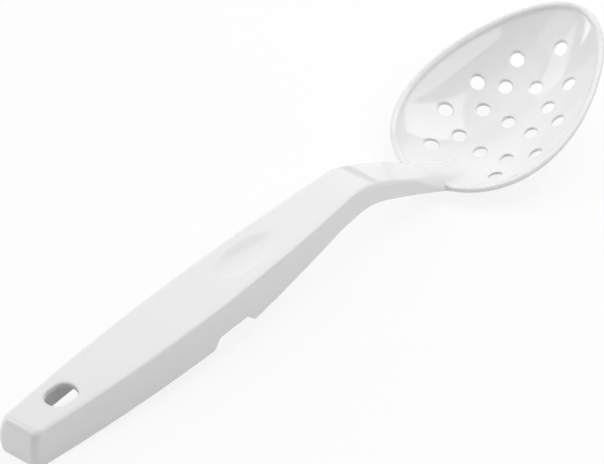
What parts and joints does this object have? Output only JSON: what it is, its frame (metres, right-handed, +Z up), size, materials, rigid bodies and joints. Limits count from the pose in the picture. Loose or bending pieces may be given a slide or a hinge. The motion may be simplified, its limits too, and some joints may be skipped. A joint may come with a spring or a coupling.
{
  "type": "slotted serving spoon",
  "caption": "White moulded serving spoon with an egg-shaped perforated bowl, a cranked neck and a hollow handle with a hang hole, a thumb dimple and a notch that hooks over a pan.",
  "frame": {"origin": "centre of the spoon's footprint, on the table that it lies on", "axes": "+X from the end of the handle to the tip of the bowl, +Y to the left, +Z up with the bowl open upwards"},
  "size_m": [0.2819, 0.0648, 0.0357],
  "materials": {
    "plastic": "smooth glossy white moulded plastic"
  },
  "bodies": {
    "root": {"bowl": "plastic", "tongue": "plastic", "neck": "plastic", "grip_plate": "plastic", "left_skirt": "plastic", "right_skirt": "plastic", "end_wall": "plastic"}
  },
  "joints": []
}
